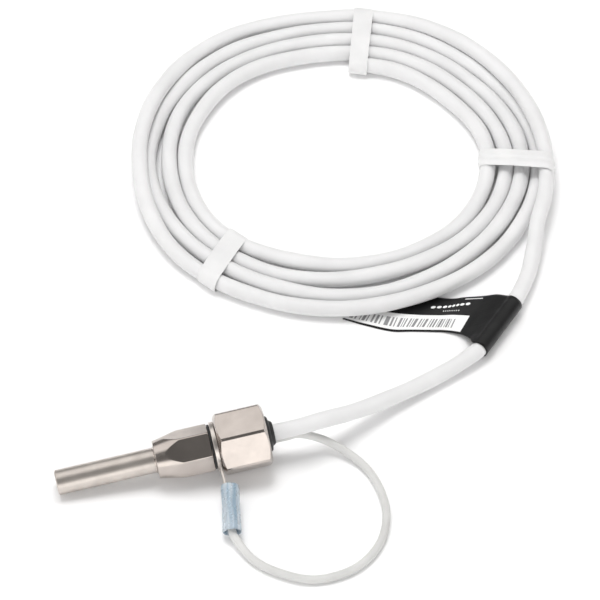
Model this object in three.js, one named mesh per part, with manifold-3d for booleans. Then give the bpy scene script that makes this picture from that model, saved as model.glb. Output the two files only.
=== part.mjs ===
// Flame sensor probe: a steel stem with a hexagonal body and a union nut, a white lead wound into
// a tied coil, and a bonding wire whose ring terminal is clamped under the nut.
// Millimetres, +Z up. The probe lies on a floor at Z = 0 with its tip towards -X.

import * as THREE from 'three';
import { mergeVertices } from 'three/addons/utils/BufferGeometryUtils.js';
import Module from 'manifold-3d';

const wasm = await Module();
wasm.setup();

// ---------------------------------------------------------------- driving dimensions
// A station is a distance along the probe's axis from its tip.
const GAP = 0.3; // kept between pieces that touch

const STEM_RADIUS = 4.7625; // 3/8 inch tube
const STEM_BORE_RADIUS = 4.05;
const STEM_END = 50; // inside the body
const STEM_EDGE = 0.4; // chamfer round the tip
const WINDOW_OPENING_RADIUS = 3.2;
const WINDOW_FRONT = 1.5;

const NOSE_STATION = 38.2; // front of the body
const NOSE_RADIUS = 7.1;
const NOSE_CONE_ANGLE = THREE.MathUtils.degToRad(11.5);
const BODY_REAR = 59.4;
const BODY_ACROSS_FLATS = 16;
const NECK_END = 71;
const NECK_BORE_RADIUS = 3.2;

const THREAD_PITCH = 1.27; // 1/2-20 UNF
const THREAD_CORE_RADIUS = 5.5;
const THREAD_CREST_RADIUS = 6.3;
const THREAD_ROOT_HALF = 0.44;
const THREAD_FLANK = 0.45; // narrowing of half the ridge for each millimetre of height
const THREAD_SIDES = 20; // flats in one turn
const THREAD_PLAY = 0.2; // radial
const THREAD_AXIAL_PLAY = 0.12;

const WASHER_THICKNESS = 0.9;
const WASHER_RADIUS = 8.6;
const TERMINAL_FRONT = BODY_REAR + WASHER_THICKNESS + 2 * GAP;
const TERMINAL_THICKNESS = 1;
const TERMINAL_HOLE_RADIUS = 6.7;
const TERMINAL_RADIUS = 9.3;
const TERMINAL_MIDDLE = TERMINAL_FRONT + TERMINAL_THICKNESS / 2;
const TERMINAL_ANGLE = THREE.MathUtils.degToRad(-11); // from -Y towards +Z
const TONGUE_WIDTH = 3.2;
const BARREL_STEP = 1.27; // from the tongue's middle towards the cable
const BARREL_BEND = THREE.MathUtils.degToRad(9); // towards the tip
const BARREL_RADIUS = 2.1;
const BARREL_START = 18.2;
const BARREL_LENGTH = 6.5;
const SLEEVE_START = 17.6;
const SLEEVE_LENGTH = 19;
const SLEEVE_RADIUS = 3.6;
const SLEEVE_BORE_RADIUS = 2.7;

const NUT_FRONT = TERMINAL_FRONT + TERMINAL_THICKNESS + GAP;
const NUT_LENGTH = 19;
const NUT_REAR = NUT_FRONT + NUT_LENGTH;
const NUT_ACROSS_FLATS = 22.225; // 7/8 inch
const NUT_FACE_RADIUS = 10.3; // where the 30 degree chamfer meets the end faces
const NUT_POCKET_RADIUS = 8;
const NUT_POCKET_START = 70.5;
const NUT_LIP = 2;
const NUT_LIP_RADIUS = 7.2;

const GROMMET_FRONT = 74.5;
const GROMMET_FLANGE_END = 77.7;
const GROMMET_FLANGE_RADIUS = 7.7;
const GROMMET_NOSE_RADIUS = 6.9;
const GROMMET_DOME_START = 81.5;
const GROMMET_END = 83.8;
const GROMMET_END_RADIUS = 4;
const CABLE_PLAY = 0.4; // round the lead in the grommet's hole
const WIRE_PLAY = 0.35;
const SLIP_WASHER_THICKNESS = 0.8;

const CABLE_RADIUS = 3.2;
const CABLE_START = 73.6; // the jacket's cut end, inside the gland
const WIRE_RADIUS = 1.55;
const WIRE_OFFSET = CABLE_RADIUS + WIRE_RADIUS + 0.25;
const WIRE_ANGLE = THREE.MathUtils.degToRad(-97); // from -Y towards +Z, nearly below the cable
const WIRE_START = 82.7; // moulded into the grommet, clear of the spacer when the nut is drawn back
const CORE_RADIUS = 0.9;
const CORE_OFFSET = 1.95; // of each conductor from the axis

const COIL_CENTRE = new THREE.Vector2(95.5, 140);
const COIL_INNER_RADIUS = 54;
const COIL_OUTER_RADIUS = 85;
const COIL_BOTTOM = 0.95;
const COIL_TOP = 11.5;
const TIE_THICKNESS = 0.6;
const TIE_WIDTH = 9;
const FLOOR_CLEARANCE = 0.05;

const LABEL_THICKNESS = 0.45;
const LABEL_WRAP_LENGTH = 27.6;
const LABEL_WRAP_RADIUS = 3.85; // inside the wrap
const LABEL_HEIGHT = LABEL_WRAP_RADIUS + LABEL_THICKNESS + FLOOR_CLEARANCE; // of the lead inside it

const TAIL_RADIUS = 0.8;
const TAIL_FERRULE_RADIUS = 1.1;
const TAIL_FERRULE_LENGTH = 8;

// The probe lies on the edge of its tip and on the front edge of one of the nut's flats.
const NUT_FLAT_START = (NUT_ACROSS_FLATS / 2 - NUT_FACE_RADIUS) * Math.tan(Math.PI / 6);
const TILT = Math.atan(
  (NUT_ACROSS_FLATS / 2 - STEM_RADIUS) / (NUT_FRONT + NUT_FLAT_START - STEM_EDGE),
);
const TIP_HEIGHT = STEM_RADIUS * Math.cos(TILT) - STEM_EDGE * Math.sin(TILT);
const TIP_X = -0.5 * (
  GROMMET_END * Math.cos(TILT) + (GROMMET_END_RADIUS - STEM_RADIUS + STEM_EDGE) * Math.sin(TILT)
);

// ---------------------------------------------------------------- places in the floor's frame

// A point beside the probe's axis, at an angle from -Y towards +Z.
function besideAxis(station, offset, angle) {
  const across = -offset * Math.cos(angle);
  const up = offset * Math.sin(angle);
  return new THREE.Vector3(
    TIP_X + station * Math.cos(TILT) - up * Math.sin(TILT),
    across,
    TIP_HEIGHT + station * Math.sin(TILT) + up * Math.cos(TILT),
  );
}

// Directions in the probe's own frame, whose X runs along its axis.
const TERMINAL_DIRECTION = new THREE.Vector3(0, -Math.cos(TERMINAL_ANGLE), Math.sin(TERMINAL_ANGLE));
const BARREL_DIRECTION = TERMINAL_DIRECTION.clone()
  .multiplyScalar(Math.cos(BARREL_BEND))
  .add(new THREE.Vector3(-Math.sin(BARREL_BEND), 0, 0));

// A point on the terminal barrel's axis, at a distance from the probe's axis, in the probe's frame.
function barrelPoint(distance) {
  return new THREE.Vector3(TERMINAL_MIDDLE + BARREL_STEP, 0, 0)
    .addScaledVector(TERMINAL_DIRECTION, BARREL_START)
    .addScaledVector(BARREL_DIRECTION, distance - BARREL_START);
}

// The same point in the floor's frame.
function barrelPointOnFloor(distance) {
  return barrelPoint(distance)
    .applyAxisAngle(new THREE.Vector3(0, 1, 0), -TILT)
    .add(new THREE.Vector3(TIP_X, 0, TIP_HEIGHT));
}

// Route of the lead, from its cut end inside the gland to the coil.
const LEAD_ROUTE = [
  besideAxis(CABLE_START, 0, 0),
  besideAxis(80, 0, 0),
  besideAxis(86, 0, 0),
  besideAxis(91, 0, 0),
  besideAxis(94, 0, 0),
  new THREE.Vector3(62, 2, 13.4),
  new THREE.Vector3(73, 6, 9.8),
  new THREE.Vector3(87, 12, 5.8),
  new THREE.Vector3(103, 18.4, 3.7),
  new THREE.Vector3(119, 25, 3.65),
  new THREE.Vector3(128.1, 29.7, LABEL_HEIGHT),
  new THREE.Vector3(131.9, 33.7, LABEL_HEIGHT),
  new THREE.Vector3(141.5, 43.8, LABEL_HEIGHT),
  new THREE.Vector3(149.2, 52.1, LABEL_HEIGHT),
  new THREE.Vector3(156.5, 63, 4.2),
  new THREE.Vector3(161.8, 74.5, 5.4),
  new THREE.Vector3(166.6, 87, 7.6),
];

// Route of the bonding wire, from the gland to the end of the terminal's barrel.
const WIRE_ROUTE = [
  besideAxis(WIRE_START, WIRE_OFFSET, WIRE_ANGLE),
  besideAxis(86, WIRE_OFFSET, WIRE_ANGLE),
  besideAxis(89, WIRE_OFFSET, WIRE_ANGLE),
  besideAxis(92.2, WIRE_OFFSET, WIRE_ANGLE),
  new THREE.Vector3(58.5, -1.2, 7),
  new THREE.Vector3(66, -5, 3.6),
  new THREE.Vector3(73, -13, 1.8),
  new THREE.Vector3(76.7, -24, 1.7),
  new THREE.Vector3(76.7, -38, 1.7),
  new THREE.Vector3(70.8, -51.2, 1.7),
  new THREE.Vector3(59.7, -59.8, 1.7),
  new THREE.Vector3(44, -61.6, 1.7),
  new THREE.Vector3(31.5, -55.6, 1.8),
  new THREE.Vector3(24.1, -48.6, 1.9),
  new THREE.Vector3(20.2, -41, 2.8),
  barrelPointOnFloor(SLEEVE_START + SLEEVE_LENGTH),
  barrelPointOnFloor(SLEEVE_START + SLEEVE_LENGTH - 6),
  barrelPointOnFloor(BARREL_START + BARREL_LENGTH + GAP),
];

// ---------------------------------------------------------------- geometry helpers

function signedVolume(geometry) {
  const position = geometry.getAttribute('position');
  const index = geometry.getIndex();
  const count = index ? index.count : position.count;
  const corners = [new THREE.Vector3(), new THREE.Vector3(), new THREE.Vector3()];
  let volume = 0;
  for (let i = 0; i < count; i += 3) {
    corners.forEach((corner, k) => {
      corner.fromBufferAttribute(position, index ? index.getX(i + k) : i + k);
    });
    volume += corners[0].dot(corners[1].clone().cross(corners[2])) / 6;
  }
  return volume;
}

// Positions only, shared between faces, with every face pointing out.
function closedGeometry(source) {
  source.deleteAttribute('normal');
  source.deleteAttribute('uv');
  const geometry = mergeVertices(source, 1e-4);
  const index = geometry.getIndex().array;
  const position = geometry.getAttribute('position');
  const kept = [];
  const flip = signedVolume(geometry) < 0;
  for (let i = 0; i < index.length; i += 3) {
    const [a, b, c] = [index[i], index[i + 1], index[i + 2]];
    if (a !== b && b !== c && c !== a) {
      kept.push(...(flip ? [a, c, b] : [a, b, c]));
    }
  }
  const closed = new THREE.BufferGeometry();
  closed.setAttribute('position', position.clone());
  closed.setIndex(kept);
  return closed;
}

function toSolid(source) {
  const geometry = closedGeometry(source);
  return new wasm.Manifold(new wasm.Mesh({
    numProp: 3,
    vertProperties: new Float32Array(geometry.getAttribute('position').array),
    triVerts: new Uint32Array(geometry.getIndex().array),
  }));
}

function fromSolid(solid) {
  const mesh = solid.getMesh();
  const geometry = new THREE.BufferGeometry();
  geometry.setAttribute('position', new THREE.BufferAttribute(mesh.vertProperties, 3));
  geometry.setIndex(new THREE.BufferAttribute(mesh.triVerts, 1));
  return geometry;
}

// A turned shape on the probe's axis, from its outline of [station, radius] corners.
function turned(outline, segments = 24) {
  const points = outline.map(([station, radius]) => new THREE.Vector2(radius, station));
  const onAxis = outline[0][1] === 0 && outline[outline.length - 1][1] === 0;
  if (!onAxis) {
    points.push(points[0].clone());
  }
  return new THREE.LatheGeometry(points, segments).rotateZ(-Math.PI / 2);
}

function rod(start, end, radius, segments = 24) {
  return turned([[start, 0], [start, radius], [end, radius], [end, 0]], segments);
}

function pipe(start, end, innerRadius, outerRadius, segments = 24) {
  return turned([
    [start, innerRadius], [start, outerRadius], [end, outerRadius], [end, innerRadius],
  ], segments);
}

// A hexagonal bar on the probe's axis, with a corner at the top before it is turned.
function hexBar(acrossFlats, start, end, turn = 0) {
  const cornerRadius = acrossFlats / 2 / Math.cos(Math.PI / 6);
  return new THREE.CylinderGeometry(cornerRadius, cornerRadius, end - start, 6)
    .rotateZ(-Math.PI / 2)
    .rotateX(turn)
    .translate((start + end) / 2, 0, 0);
}

// The ridge of a right-hand thread about the axis. Its phase depends only on the station, so
// a ridge and the groove cut with the same function are in mesh.
function helicalRidge(start, end, footRadius, crestRadius, footHalf, crestHalf) {
  const steps = Math.round((end - start) / THREAD_PITCH * THREAD_SIDES);
  const section = [
    [footRadius, -footHalf], [crestRadius, -crestHalf], [crestRadius, crestHalf], [footRadius, footHalf],
  ];
  const positions = [];
  for (let step = 0; step <= steps; step += 1) {
    const station = start + step * THREAD_PITCH / THREAD_SIDES;
    const angle = 2 * Math.PI * (station - BODY_REAR) / THREAD_PITCH;
    for (const [radius, offset] of section) {
      positions.push(station + offset, radius * Math.cos(angle), radius * Math.sin(angle));
    }
  }
  const faces = [0, 1, 2, 0, 2, 3];
  for (let step = 0; step < steps; step += 1) {
    for (let side = 0; side < 4; side += 1) {
      const a = step * 4 + side;
      const b = step * 4 + (side + 1) % 4;
      faces.push(a, a + 4, b, b, a + 4, b + 4);
    }
  }
  const last = steps * 4;
  faces.push(last, last + 2, last + 1, last, last + 3, last + 2);
  const geometry = new THREE.BufferGeometry();
  geometry.setAttribute('position', new THREE.Float32BufferAttribute(positions, 3));
  geometry.setIndex(faces);
  return geometry;
}

// Half the width of the neck's thread ridge at a radius.
function ridgeHalf(radius) {
  return THREAD_ROOT_HALF - THREAD_FLANK * (radius - THREAD_CORE_RADIUS);
}

function polygon(sides, radius) {
  const corners = [];
  for (let side = 0; side < sides; side += 1) {
    const angle = 2 * Math.PI * side / sides;
    corners.push(new THREE.Vector2(radius * Math.cos(angle), radius * Math.sin(angle)));
  }
  return new THREE.Shape(corners);
}

// A plain tube of solid section along a curve.
function cord(curve, radius, sides, steps) {
  return new THREE.ExtrudeGeometry(polygon(sides, radius), {
    steps,
    bevelEnabled: false,
    extrudePath: curve,
  });
}

// A rod or pipe along the terminal's barrel, in the probe's frame.
function alongBarrel(geometry, distance) {
  const turn = new THREE.Quaternion().setFromUnitVectors(new THREE.Vector3(1, 0, 0), BARREL_DIRECTION);
  const place = barrelPoint(distance);
  return geometry.applyQuaternion(turn).translate(place.x, place.y, place.z);
}

// ---------------------------------------------------------------- materials

function material(color, roughness, metalness = 0) {
  return new THREE.MeshStandardMaterial({ color, roughness, metalness, flatShading: true });
}

const STAINLESS = material(0xb9b2aa, 0.3, 1);
const NICKEL = material(0xcfc6be, 0.25, 1);
const TINNED_COPPER = material(0xd6d2c8, 0.35, 1);
const BLACK_RUBBER = material(0x1a1a1a, 0.7);
const CLEAR_GLASS = material(0xcfe0ea, 0.05);
const DARK_PLASTIC = material(0x2c2c2c, 0.6);
const POTTING = material(0x3a332c, 0.5);
const WHITE_PTFE = material(0xf0f0ec, 0.4);
const WHITE_JACKET = material(0xe9e9e9, 0.45);
const WHITE_TAPE = material(0xf2f2f2, 0.6);
const BLACK_LABEL = material(0x161616, 0.35);
const BLUE_SLEEVE = material(0xa9c4d6, 0.3);
const RED_INSULATION = material(0x9c2f28, 0.5);
const BLACK_INSULATION = material(0x222222, 0.5);

// ---------------------------------------------------------------- assembly

const assembly = new THREE.Group();
const probe = new THREE.Group();
probe.position.set(TIP_X, 0, TIP_HEIGHT);
probe.rotation.y = -TILT;
assembly.add(probe);

function addPiece(group, name, geometry, finish) {
  const mesh = new THREE.Mesh(closedGeometry(geometry), finish);
  mesh.name = name;
  group.add(mesh);
}

// ---------------------------------------------------------------- stem and its optics

function stemTube() {
  return turned([
    [0, WINDOW_OPENING_RADIUS],
    [0, STEM_RADIUS - STEM_EDGE],
    [STEM_EDGE, STEM_RADIUS],
    [STEM_END, STEM_RADIUS],
    [STEM_END, STEM_BORE_RADIUS],
    [WINDOW_FRONT - GAP, STEM_BORE_RADIUS],
    [WINDOW_FRONT - GAP, WINDOW_OPENING_RADIUS],
  ]);
}

// Stations of the pieces stacked behind the window, each a gap behind the one before.
const WINDOW_REAR = WINDOW_FRONT + 2;
const SEAL_START = WINDOW_REAR + GAP;
const SEAL_END = SEAL_START + 1.2;
const SPACER_START = SEAL_END + GAP;
const SPACER_END = SPACER_START + 7;
const CELL_START = SPACER_END + GAP;
const CELL_BASE = CELL_START + 4.2;
const CELL_END = CELL_BASE + 0.8;
const HOLDER_START = CELL_END + GAP;
const HOLDER_END = HOLDER_START + 2.5;
const LEG_END = HOLDER_END + 6;
const SPLICE_START = HOLDER_END + 2.5;
const SPLICE_END = SPLICE_START + 8;
const STACK_RADIUS = STEM_BORE_RADIUS - GAP;

function windowSeal() {
  return pipe(SEAL_START, SEAL_END, 2.7, STACK_RADIUS);
}

function photocell() {
  return turned([
    [CELL_START, 0], [CELL_START, 3], [CELL_BASE, 3], [CELL_BASE, STACK_RADIUS],
    [CELL_END, STACK_RADIUS], [CELL_END, 0],
  ]);
}

// Cuts two holes, one for each conductor, along a piece.
function withConductorHoles(solid, start, end, radius) {
  let drilled = solid;
  for (const side of [-1, 1]) {
    const hole = rod(start - 1, end + 1, radius, 12).translate(0, side * CORE_OFFSET, 0);
    drilled = drilled.subtract(toSolid(hole));
  }
  return fromSolid(drilled);
}

function photocellHolder() {
  return withConductorHoles(
    toSolid(rod(HOLDER_START, HOLDER_END, STACK_RADIUS)), HOLDER_START, HOLDER_END, 0.65);
}

const POTTING_START = 41;
const POTTING_END = 49.5;

function pottingPlug() {
  return withConductorHoles(
    toSolid(rod(POTTING_START, POTTING_END, STACK_RADIUS)), POTTING_START, POTTING_END, 1.2);
}

addPiece(probe, 'stem_tube', stemTube(), STAINLESS);
addPiece(probe, 'tip_window', rod(WINDOW_FRONT, WINDOW_REAR, STACK_RADIUS), CLEAR_GLASS);
addPiece(probe, 'window_seal', windowSeal(), BLACK_RUBBER);
addPiece(probe, 'spacer_tube', pipe(SPACER_START, SPACER_END, 3, STACK_RADIUS), DARK_PLASTIC);
addPiece(probe, 'photocell', photocell(), NICKEL);
addPiece(probe, 'photocell_holder', photocellHolder(), DARK_PLASTIC);
addPiece(probe, 'potting_plug', pottingPlug(), POTTING);

// ---------------------------------------------------------------- conductors inside the probe

const CONDUCTORS = [
  { colour: 'red', side: -1, finish: RED_INSULATION },
  { colour: 'black', side: 1, finish: BLACK_INSULATION },
];

for (const { colour, side, finish } of CONDUCTORS) {
  const aside = side * CORE_OFFSET;
  const leg = rod(HOLDER_START, LEG_END, 0.35, 8).translate(0, aside, 0);
  const splice = pipe(SPLICE_START, SPLICE_END, 0.65, 1, 12).translate(0, aside, 0);
  const cover = pipe(SPLICE_START - 1, SPLICE_END - GAP, 1.25, 1.55, 12).translate(0, aside, 0);
  const core = rod(SPLICE_END + GAP, CABLE_START - GAP, CORE_RADIUS, 8).translate(0, aside, 0);
  addPiece(probe, `photocell_leg_${colour}`, leg, TINNED_COPPER);
  addPiece(probe, `splice_${colour}`, splice, TINNED_COPPER);
  addPiece(probe, `splice_cover_${colour}`, cover, WHITE_PTFE);
  addPiece(probe, `core_${colour}`, core, finish);
}

// ---------------------------------------------------------------- body

function probeBody() {
  const fullRadius = BODY_ACROSS_FLATS / 2 / Math.cos(Math.PI / 6) + 0.2;
  const coneEnd = NOSE_STATION + (fullRadius - NOSE_RADIUS) / Math.tan(NOSE_CONE_ANGLE);
  const envelope = turned([
    [NOSE_STATION, 0],
    [NOSE_STATION, NOSE_RADIUS],
    [coneEnd, fullRadius],
    [BODY_REAR - 0.5, fullRadius],
    [BODY_REAR, fullRadius - 0.6],
    [BODY_REAR, 0],
  ], 36);
  const hex = hexBar(BODY_ACROSS_FLATS, NOSE_STATION - 1, BODY_REAR + 1);
  const neck = rod(BODY_REAR - 1, NECK_END, THREAD_CORE_RADIUS, THREAD_SIDES);
  const footRadius = THREAD_CORE_RADIUS - 0.2;
  const ridge = helicalRidge(
    BODY_REAR + 0.5, NECK_END - 0.8, footRadius, THREAD_CREST_RADIUS,
    ridgeHalf(footRadius), ridgeHalf(THREAD_CREST_RADIUS),
  );
  const stemSocket = rod(NOSE_STATION - 1, STEM_END + GAP, STEM_RADIUS + GAP);
  const bore = rod(STEM_END, NECK_END + 1, NECK_BORE_RADIUS);
  return fromSolid(
    toSolid(envelope).intersect(toSolid(hex))
      .add(toSolid(neck))
      .add(toSolid(ridge))
      .subtract(toSolid(stemSocket))
      .subtract(toSolid(bore)),
  );
}

addPiece(probe, 'probe_body', probeBody(), NICKEL);
addPiece(
  probe, 'sealing_washer',
  pipe(BODY_REAR + GAP, BODY_REAR + GAP + WASHER_THICKNESS, TERMINAL_HOLE_RADIUS, WASHER_RADIUS),
  BLACK_RUBBER,
);

// ---------------------------------------------------------------- ring terminal and its sleeve

function ringTerminal() {
  const rear = TERMINAL_FRONT + TERMINAL_THICKNESS;
  const plate = rod(TERMINAL_FRONT, rear, TERMINAL_RADIUS, 36);
  const tongueLength = BARREL_START + 1.5 - TERMINAL_HOLE_RADIUS;
  const tongue = new THREE.BoxGeometry(TERMINAL_THICKNESS, tongueLength, TONGUE_WIDTH)
    .translate(TERMINAL_MIDDLE, -TERMINAL_HOLE_RADIUS - tongueLength / 2, 0)
    .rotateX(-TERMINAL_ANGLE);
  const hole = rod(TERMINAL_FRONT - 1, rear + 1, TERMINAL_HOLE_RADIUS);
  const barrel = alongBarrel(rod(0, BARREL_LENGTH, BARREL_RADIUS, 16), BARREL_START);
  return fromSolid(
    toSolid(plate).add(toSolid(tongue)).add(toSolid(barrel)).subtract(toSolid(hole)),
  );
}

addPiece(probe, 'ring_terminal', ringTerminal(), TINNED_COPPER);
addPiece(
  probe, 'terminal_sleeve',
  alongBarrel(pipe(0, SLEEVE_LENGTH, SLEEVE_BORE_RADIUS, SLEEVE_RADIUS, 16), SLEEVE_START),
  BLUE_SLEEVE,
);

// ---------------------------------------------------------------- gland and union nut

function unionNut() {
  const cornerRadius = NUT_ACROSS_FLATS / 2 / Math.cos(Math.PI / 6) + 0.2;
  const chamfer = (cornerRadius - NUT_FACE_RADIUS) * Math.tan(Math.PI / 6);
  const envelope = turned([
    [NUT_FRONT, 0],
    [NUT_FRONT, NUT_FACE_RADIUS],
    [NUT_FRONT + chamfer, cornerRadius],
    [NUT_REAR - chamfer, cornerRadius],
    [NUT_REAR, NUT_FACE_RADIUS],
    [NUT_REAR, 0],
  ], 36);
  const hex = hexBar(NUT_ACROSS_FLATS, NUT_FRONT - 1, NUT_REAR + 1, Math.PI / 6);
  const coreRadius = THREAD_CORE_RADIUS + THREAD_PLAY;
  const crestRadius = THREAD_CREST_RADIUS + THREAD_PLAY;
  const footRadius = coreRadius - 0.2;
  const groove = helicalRidge(
    NUT_FRONT - THREAD_PITCH, NUT_POCKET_START + THREAD_PITCH, footRadius, crestRadius,
    ridgeHalf(footRadius) + THREAD_AXIAL_PLAY, ridgeHalf(crestRadius) + THREAD_AXIAL_PLAY,
  );
  const cavity = turned([
    [NUT_FRONT - 1, 0],
    [NUT_FRONT - 1, coreRadius],
    [NUT_POCKET_START, coreRadius],
    [NUT_POCKET_START, NUT_POCKET_RADIUS],
    [NUT_REAR - NUT_LIP, NUT_POCKET_RADIUS],
    [NUT_REAR - NUT_LIP, NUT_LIP_RADIUS],
    [NUT_REAR + 1, NUT_LIP_RADIUS],
    [NUT_REAR + 1, 0],
  ]);
  return fromSolid(
    toSolid(envelope).intersect(toSolid(hex)).subtract(toSolid(cavity)).subtract(toSolid(groove)),
  );
}

function cableGrommet() {
  const shape = turned([
    [GROMMET_FRONT, 0],
    [GROMMET_FRONT, GROMMET_FLANGE_RADIUS],
    [GROMMET_FLANGE_END, GROMMET_FLANGE_RADIUS],
    [GROMMET_FLANGE_END, GROMMET_NOSE_RADIUS],
    [GROMMET_DOME_START, GROMMET_NOSE_RADIUS],
    [GROMMET_DOME_START + 1.1, GROMMET_NOSE_RADIUS - 1.1],
    [GROMMET_END, GROMMET_END_RADIUS],
    [GROMMET_END, 0],
  ]);
  const cableHole = rod(GROMMET_FRONT - 1, GROMMET_END + 1, CABLE_RADIUS + CABLE_PLAY);
  const wireHole = rod(GROMMET_FRONT - 1, GROMMET_END + 1, WIRE_RADIUS + WIRE_PLAY, 16).translate(
    0, -WIRE_OFFSET * Math.cos(WIRE_ANGLE), WIRE_OFFSET * Math.sin(WIRE_ANGLE),
  );
  return fromSolid(toSolid(shape).subtract(toSolid(cableHole)).subtract(toSolid(wireHole)));
}

const SLIP_WASHER_START = NUT_REAR - NUT_LIP - GAP - SLIP_WASHER_THICKNESS;

addPiece(
  probe, 'gland_spacer',
  pipe(NECK_END + GAP, GROMMET_FRONT - GAP, 5.6, GROMMET_FLANGE_RADIUS), WHITE_PTFE,
);
addPiece(
  probe, 'shield_ferrule',
  pipe(NECK_END + GAP, GROMMET_FRONT - GAP, CABLE_RADIUS + GAP, 5.2), TINNED_COPPER,
);
addPiece(probe, 'cable_grommet', cableGrommet(), BLACK_RUBBER);
addPiece(
  probe, 'slip_washer',
  pipe(SLIP_WASHER_START, SLIP_WASHER_START + SLIP_WASHER_THICKNESS,
    GROMMET_NOSE_RADIUS + 0.2, NUT_POCKET_RADIUS - GAP),
  WHITE_PTFE,
);
addPiece(probe, 'union_nut', unionNut(), NICKEL);

// ---------------------------------------------------------------- lead, bonding wire and coil

addPiece(assembly, 'cable_lead', cord(new THREE.CatmullRomCurve3(LEAD_ROUTE), CABLE_RADIUS, 10, 18),
  WHITE_JACKET);
addPiece(assembly, 'bond_wire', cord(new THREE.CatmullRomCurve3(WIRE_ROUTE), WIRE_RADIUS, 8, 32),
  WHITE_JACKET);

// A turned shape about the coil's upright axis, from its outline of [radius, height] corners.
function coilRing() {
  const edge = 2;
  const outline = [
    [COIL_INNER_RADIUS + edge, COIL_BOTTOM], [COIL_OUTER_RADIUS - edge, COIL_BOTTOM],
    [COIL_OUTER_RADIUS, COIL_BOTTOM + edge], [COIL_OUTER_RADIUS, COIL_TOP - edge],
    [COIL_OUTER_RADIUS - edge, COIL_TOP], [COIL_INNER_RADIUS + edge, COIL_TOP],
    [COIL_INNER_RADIUS, COIL_TOP - edge], [COIL_INNER_RADIUS, COIL_BOTTOM + edge],
  ];
  const points = outline.map(([radius, height]) => new THREE.Vector2(radius, height));
  points.push(points[0].clone());
  return new THREE.LatheGeometry(points, 48)
    .rotateX(Math.PI / 2)
    .translate(COIL_CENTRE.x, COIL_CENTRE.y, 0);
}

function rectanglePoints(low, high, corner) {
  const [x0, y0] = low;
  const [x1, y1] = high;
  return [
    [x0 + corner, y0], [x1 - corner, y0], [x1, y0 + corner], [x1, y1 - corner],
    [x1 - corner, y1], [x0 + corner, y1], [x0, y1 - corner], [x0, y0 + corner],
  ].map(([x, y]) => new THREE.Vector2(x, y));
}

// A flat strap round the coil's section, at an angle about the coil's axis from +X.
function coilTie(angle) {
  const inner = [COIL_INNER_RADIUS - GAP, COIL_BOTTOM - GAP];
  const outer = [COIL_OUTER_RADIUS + GAP, COIL_TOP + GAP];
  const shape = new THREE.Shape(rectanglePoints(
    inner.map((value) => value - TIE_THICKNESS), outer.map((value) => value + TIE_THICKNESS), 2));
  shape.holes.push(new THREE.Path(rectanglePoints(inner, outer, 2)));
  return new THREE.ExtrudeGeometry(shape, { depth: TIE_WIDTH, bevelEnabled: false })
    .translate(0, 0, -TIE_WIDTH / 2)
    .rotateX(Math.PI / 2)
    .rotateZ(angle)
    .translate(COIL_CENTRE.x, COIL_CENTRE.y, 0);
}

const TIE_ANGLES = { back: 69, right: -14, left: 218 };

addPiece(assembly, 'cable_coil', coilRing(), WHITE_JACKET);
for (const [place, degrees] of Object.entries(TIE_ANGLES)) {
  addPiece(assembly, `tie_${place}`, coilTie(THREE.MathUtils.degToRad(degrees)), WHITE_TAPE);
}

// ---------------------------------------------------------------- label

// The label is wrapped round the lead, and its two plies lie on the floor as one flag.
const LABEL_MIDDLE = new THREE.Vector2(138.1, 40.25);
const LABEL_DIRECTION = THREE.MathUtils.degToRad(46.5);
const FLAG_CORNERS = [
  [128, 30.9], [138.1, 40.6], [146.9, 50.9], [141, 57], [126, 62], [106, 70], [90, 76],
  [81.5, 59.5], [89, 54.5], [98.5, 49.6], [117.7, 44.8], [124, 41.5],
];

function idLabel() {
  const wrap = pipe(
    -LABEL_WRAP_LENGTH / 2, LABEL_WRAP_LENGTH / 2,
    LABEL_WRAP_RADIUS, LABEL_WRAP_RADIUS + LABEL_THICKNESS,
  )
    .rotateZ(LABEL_DIRECTION)
    .translate(LABEL_MIDDLE.x, LABEL_MIDDLE.y, LABEL_HEIGHT);
  const bore = rod(-LABEL_WRAP_LENGTH, LABEL_WRAP_LENGTH, LABEL_WRAP_RADIUS)
    .rotateZ(LABEL_DIRECTION)
    .translate(LABEL_MIDDLE.x, LABEL_MIDDLE.y, LABEL_HEIGHT);
  const outline = new THREE.Shape(FLAG_CORNERS.map(([x, y]) => new THREE.Vector2(x, y)));
  const flag = new THREE.ExtrudeGeometry(outline, { depth: LABEL_THICKNESS, bevelEnabled: false })
    .translate(0, 0, FLOOR_CLEARANCE);
  return fromSolid(toSolid(wrap).add(toSolid(flag)).subtract(toSolid(bore)));
}

addPiece(assembly, 'id_label', idLabel(), BLACK_LABEL);

// ---------------------------------------------------------------- conductor tails

// The lead's far end: two conductors with crimped ends, lying against the back of the coil.
const TAIL_ARC_RADIUS = COIL_OUTER_RADIUS + GAP + TAIL_FERRULE_RADIUS + 0.1;
const TAIL_START_DEGREES = 79;
const TAIL_SPAN_DEGREES = 20;

function tailPoint(degrees, height) {
  const angle = THREE.MathUtils.degToRad(degrees);
  return new THREE.Vector3(
    COIL_CENTRE.x + TAIL_ARC_RADIUS * Math.cos(angle),
    COIL_CENTRE.y + TAIL_ARC_RADIUS * Math.sin(angle),
    height,
  );
}

function tailArc(startDegrees, spanDegrees, height) {
  const points = [];
  for (let step = 0; step <= 4; step += 1) {
    points.push(tailPoint(startDegrees + spanDegrees * step / 4, height));
  }
  return new THREE.CatmullRomCurve3(points);
}

const FERRULE_SPAN_DEGREES = THREE.MathUtils.radToDeg(TAIL_FERRULE_LENGTH / TAIL_ARC_RADIUS);
const GAP_DEGREES = THREE.MathUtils.radToDeg(GAP / TAIL_ARC_RADIUS);

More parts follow.
